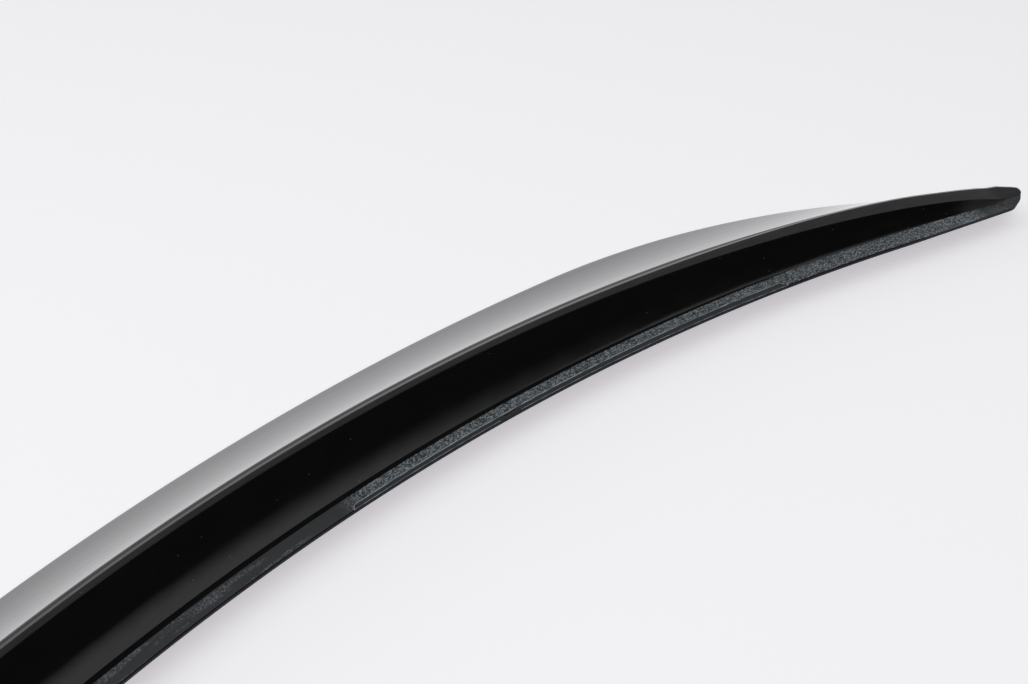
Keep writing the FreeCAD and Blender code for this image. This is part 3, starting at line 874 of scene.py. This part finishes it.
# Painted glints: pale specks of colour where the grain would catch the overhead light
glint = combined(tree, "POWER", glint_channels.outputs["Red"], 2)
slate_and_glints = blended(tree, glint, shaded_foot_end=(0.004, 0.006, 0.008), light=(0.4, 0.46, 0.505))
at_tip = spread(tree, along_lip, GRAIN_END - SMOOTH_BEFORE, GRAIN_END + GRAIN_END_AFTER, 0, 1)
smooth = blended(tree, at_tip, shaded_foot_end=(0.026, 0.029, 0.032), light=(0.008, 0.0085, 0.009))
coloured(tree, shader, amount, shaded_foot_end=smooth, light=slate_and_glints)
roughened(tree, shader, coarse, low=0.4, high=0.6)
embossed(tree, shader, combined(tree, "MULTIPLY", coarse, amount), depth=0.0008)

# Edges and ramps of the rebate, pale: painted highlights where the small steps catch the light
STEP_LIGHT_RANGE = (0.35, 0.6)
tree, shader, surface = plastic("lit_step_edge")
step_light_cloud = cloud(tree, stretched(tree, surface, along=120, across=900), detail=3)
step_light = spread(tree, step_light_cloud, *STEP_LIGHT_RANGE, 0, 1)
coloured(tree, shader, step_light, shaded_foot_end=(0.25, 0.29, 0.31), light=(0.6, 0.66, 0.7))
roughened(tree, shader, step_light_cloud, low=0.4, high=0.6)
embossed(tree, shader, step_light_cloud, depth=0.0001)

# Rebate of the strip, smooth, with a few lengthwise lines
tree, shader, surface = plastic("rebate_smooth")
lines = cloud(tree, stretched(tree, surface, along=6, across=1800))
coloured(tree, shader, lines, shaded_foot_end=(0.008, 0.011, 0.013), light=(0.022, 0.027, 0.032))
roughened(tree, shader, lines, low=0.3, high=0.45)
embossed(tree, shader, lines, depth=0.00005)

# Floor of the chip, torn plastic
tree, shader, surface = plastic("chip_torn")
torn = cloud(tree, stretched(tree, surface, along=500, across=900), detail=5)
coloured(tree, shader, torn, shaded_foot_end=(0.012, 0.012, 0.013), light=(0.026, 0.026, 0.027))
roughened(tree, shader, torn, low=0.45, high=0.7)
embossed(tree, shader, torn, depth=0.0002)

# Edge of the flange, plain from the mould
tree, shader, surface = plastic("flange_plain")
drag = cloud(tree, stretched(tree, surface, along=20, across=700), detail=3)
coloured(tree, shader, drag, shaded_foot_end=(0.012, 0.013, 0.015), light=(0.026, 0.028, 0.032))
roughened(tree, shader, drag, low=0.45, high=0.6)
shader.inputs["Specular IOR Level"].default_value = 0.15
embossed(tree, shader, drag, depth=0.00006)

# Underside, dull bare plastic with flow marks
tree, shader, surface = plastic("under_matte")
flow = cloud(tree, stretched(tree, surface, along=14, across=40), detail=4)
skin = cloud(tree, stretched(tree, surface, along=1200, across=1200))
coloured(tree, shader, flow, shaded_foot_end=(0.012, 0.012, 0.013), light=(0.024, 0.024, 0.025))
roughened(tree, shader, flow, low=0.45, high=0.65)
embossed(tree, shader, skin, depth=0.00008)

# Floor: a pale lit table of white acrylic, with light from below, so that shadows on it stay faint. The lip
# lies on it.
FLOOR_SIZE = 120
# The glow is a little magenta and the table's own colour a little green: together they give white where lit,
# and the faint shadows come out painted a little magenta.
FLOOR_COLOUR = (0.6, 0.64, 0.62, 1)
FLOOR_GLOW = (0.512, 0.487, 0.517, 1)
floor_shape = bmesh.new()
bmesh.ops.create_grid(floor_shape, x_segments=2, y_segments=2, size=FLOOR_SIZE / 2)
bmesh.ops.translate(floor_shape, verts=floor_shape.verts, vec=(0, 0, cad_box[0].z))
floor_mesh = bpy.data.meshes.new("floor")
floor_shape.to_mesh(floor_mesh)
floor_shape.free()
floor = bpy.data.objects.new("floor", floor_mesh)
bpy.context.scene.collection.objects.link(floor)
floor_finish = bpy.data.materials.new("floor_white")
floor_finish.use_nodes = True
floor_shader = floor_finish.node_tree.nodes["Principled BSDF"]
floor_shader.inputs["Base Color"].default_value = FLOOR_COLOUR
floor_shader.inputs["Roughness"].default_value = 1
floor_shader.inputs["Specular IOR Level"].default_value = 0
floor_shader.inputs["Emission Color"].default_value = FLOOR_GLOW
floor_shader.inputs["Emission Strength"].default_value = 1
floor_mesh.materials.append(floor_finish)

# Light: a large soft box overhead, turned a little, and a smaller one beside it. Their light fades towards
# one edge over a few layers. A front box lights the face. The studio is dark, with a pale wall beyond the
# lip's front, which the rim's land mirrors.
BOX_RADIANCE = 0.78
BOX_HEIGHT = 1.8
BOX_LAYERS = 4
LAYER_INSET = 0.06
LAYER_DROP = 0.003
MAIN_CENTRE = Vector((-0.03, 0.62))
MAIN_TURN = math.radians(-6.5)
MAIN_WIDTH = 2.7
MAIN_LENGTH = 3.35
MAIN_INSET = Vector((1, 0))
SIDE_CENTRE = Vector((-1.62, 0.73))
SIDE_WIDTH = 0.56
SIDE_LENGTH = 1.16
SIDE_INSET = Vector((0, -1))


def soft_box(name, centre, turn, width, length, inset_way):
    """A lamp panel in layers, each a little smaller than the one above at the edge away from inset_way."""
    for number in range(BOX_LAYERS):
        inset = inset_way * LAYER_INSET * number
        lamp = bpy.data.lights.new(name, "AREA")
        lamp.shape = "RECTANGLE"
        lamp.size = width - abs(inset.x)
        lamp.size_y = length - abs(inset.y)
        lamp.energy = BOX_RADIANCE / BOX_LAYERS * math.pi * lamp.size * lamp.size_y
        panel = bpy.data.objects.new(name, lamp)
        shift = Matrix.Rotation(turn, 2) @ (inset / 2)
        panel.location = (centre.x + shift.x, centre.y + shift.y, BOX_HEIGHT - LAYER_DROP * number)
        panel.rotation_euler = (0, 0, turn)
        bpy.context.scene.collection.objects.link(panel)


soft_box("main_box", MAIN_CENTRE, MAIN_TURN, MAIN_WIDTH, MAIN_LENGTH, MAIN_INSET)
soft_box("side_box", SIDE_CENTRE, 0, SIDE_WIDTH, SIDE_LENGTH, SIDE_INSET)

FRONT_SIZE = 1.6
FRONT_PLACE = Vector((0.9, -1.6, 1.2))
FRONT_RADIANCE = 1.6
front_box = bpy.data.lights.new("front_box", "AREA")
front_box.size = FRONT_SIZE
front_box.energy = FRONT_RADIANCE * math.pi * FRONT_SIZE**2
front_box_object = bpy.data.objects.new("front_box", front_box)
front_box_object.location = FRONT_PLACE
front_box_object.rotation_mode = "QUATERNION"
front_box_object.rotation_quaternion = (-FRONT_PLACE).to_track_quat("-Z", "Y")
bpy.context.scene.collection.objects.link(front_box_object)

WALL_WAY = Vector((-0.82, -0.57, 0)).normalized()
WALL_LIGHT = 1
WALL_EDGE = 0.5
WALL_TOP = (0.3, 0.65)
WALL_TOP_LIGHT = 0.3
STUDIO_LIGHT = 0.04
studio = bpy.data.worlds.new("studio")
studio.use_nodes = True
tree = studio.node_tree
direction = tree.nodes.new("ShaderNodeTexCoord").outputs["Generated"]
towards_wall = tree.nodes.new("ShaderNodeVectorMath")
towards_wall.operation = "DOT_PRODUCT"
towards_wall.inputs[1].default_value = WALL_WAY
tree.links.new(direction, towards_wall.inputs[0])
upward = tree.nodes.new("ShaderNodeSeparateXYZ")
tree.links.new(direction, upward.inputs["Vector"])
wall_width = spread(tree, towards_wall.outputs["Value"], 0, WALL_EDGE, 0, 1)
wall_height = spread(tree, upward.outputs["Z"], *WALL_TOP, 1, WALL_TOP_LIGHT)
wall_share = combined(tree, "MULTIPLY", wall_width, wall_height)
brightness = spread(tree, wall_share, 0, 1, STUDIO_LIGHT, WALL_LIGHT)
tree.links.new(brightness, tree.nodes["Background"].inputs["Strength"])
tree.nodes["Background"].inputs["Color"].default_value = (1, 1, 1, 1)
bpy.context.scene.world = studio
bpy.context.scene.view_settings.view_transform = "Standard"

# Camera: behind the flange and to one side, looking down along the lip to the tip on the -X side. Its place
# is in metres.
CAMERA_AZIMUTH = math.radians(124.861)
CAMERA_ELEVATION = math.radians(37.983)
CAMERA_PLACE = (0.3217, 0.5458, 0.7305)
CAMERA_LENS = 59.53
camera_data = bpy.data.cameras.new("camera")
camera_data.lens = CAMERA_LENS
camera = bpy.data.objects.new("camera", camera_data)
camera.location = CAMERA_PLACE
look = Vector((
    -math.sin(CAMERA_AZIMUTH) * math.cos(CAMERA_ELEVATION),
    math.cos(CAMERA_AZIMUTH) * math.cos(CAMERA_ELEVATION),
    -math.sin(CAMERA_ELEVATION),
))
camera.rotation_mode = "QUATERNION"
camera.rotation_quaternion = look.to_track_quat("-Z", "Y")
bpy.context.scene.collection.objects.link(camera)
bpy.context.scene.camera = camera

bpy.context.view_layer.update()
